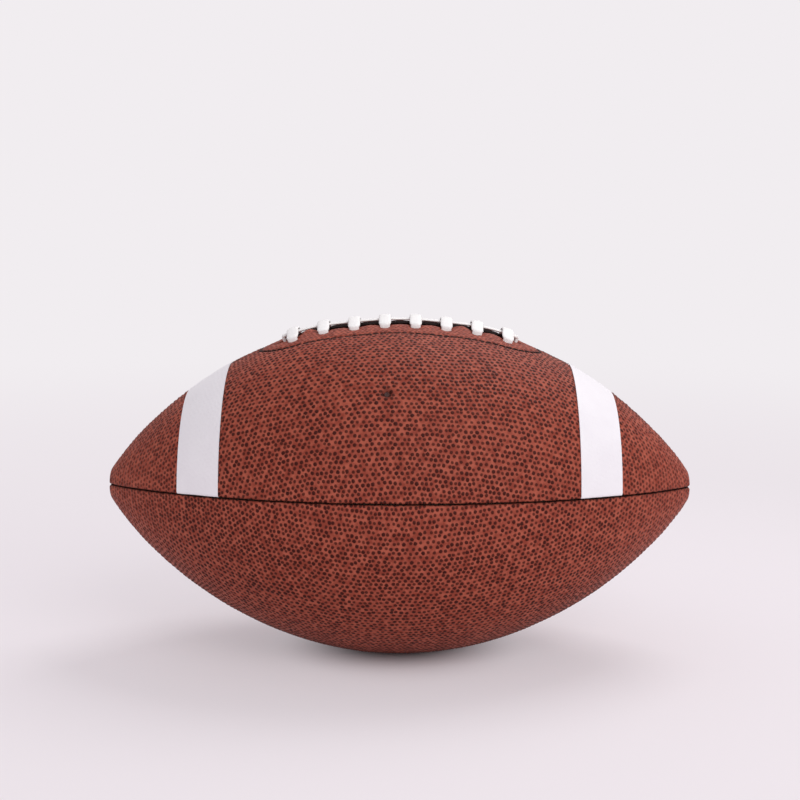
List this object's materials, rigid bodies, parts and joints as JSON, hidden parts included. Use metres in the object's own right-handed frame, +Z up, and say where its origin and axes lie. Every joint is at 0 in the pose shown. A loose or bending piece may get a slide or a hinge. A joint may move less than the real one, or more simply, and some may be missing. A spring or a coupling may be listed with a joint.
{
  "type": "american football",
  "caption": "Full-size laced american football: a pointed, inflated leather ball with white stripes, built from panels, linings, bladder, valve, seams and lacing.",
  "frame": {"origin": "under the middle of the ball, on the surface that it rests on", "axes": "+X along the ball from nose to nose, +Z up through the lacing, -Y the side with the inflation valve"},
  "size_m": [0.288, 0.1668, 0.168],
  "materials": {
    "cover_leather": "red-brown pebbled leather with a low sheen",
    "facing_leather": "plain split leather",
    "lining_canvas": "woven cotton canvas",
    "stripe_film": "white film with a low sheen",
    "waxed_thread": "waxed thread",
    "dark_thread": "dark waxed thread",
    "lace_cord": "white coated lace with a fine weave",
    "bladder_rubber": "moulded butyl rubber",
    "valve_rubber": "moulded rubber"
  },
  "bodies": {
    "root": {"panel_upper_front": "cover_leather", "panel_upper_back": "cover_leather", "panel_lower_front": "cover_leather", "panel_lower_back": "cover_leather", "lining_upper_front": "lining_canvas", "lining_upper_back": "lining_canvas", "lining_lower_front": "lining_canvas", "lining_lower_back": "lining_canvas", "stripe_front_left": "stripe_film", "stripe_front_right": "stripe_film", "stripe_back_left": "stripe_film", "stripe_back_right": "stripe_film", "seam_thread_front": "waxed_thread", "seam_thread_back": "waxed_thread", "seam_thread_bottom": "waxed_thread", "seam_thread_top_left": "waxed_thread", "seam_thread_top_right": "waxed_thread", "facing_thread_front": "dark_thread", "facing_thread_back": "dark_thread", "lace_facing_front": "facing_leather", "lace_facing_back": "facing_leather", "lace_tongue": "facing_leather", "lace": "lace_cord", "bladder": "bladder_rubber", "valve_body": "valve_rubber", "valve_plug": "valve_rubber"}
  },
  "joints": []
}
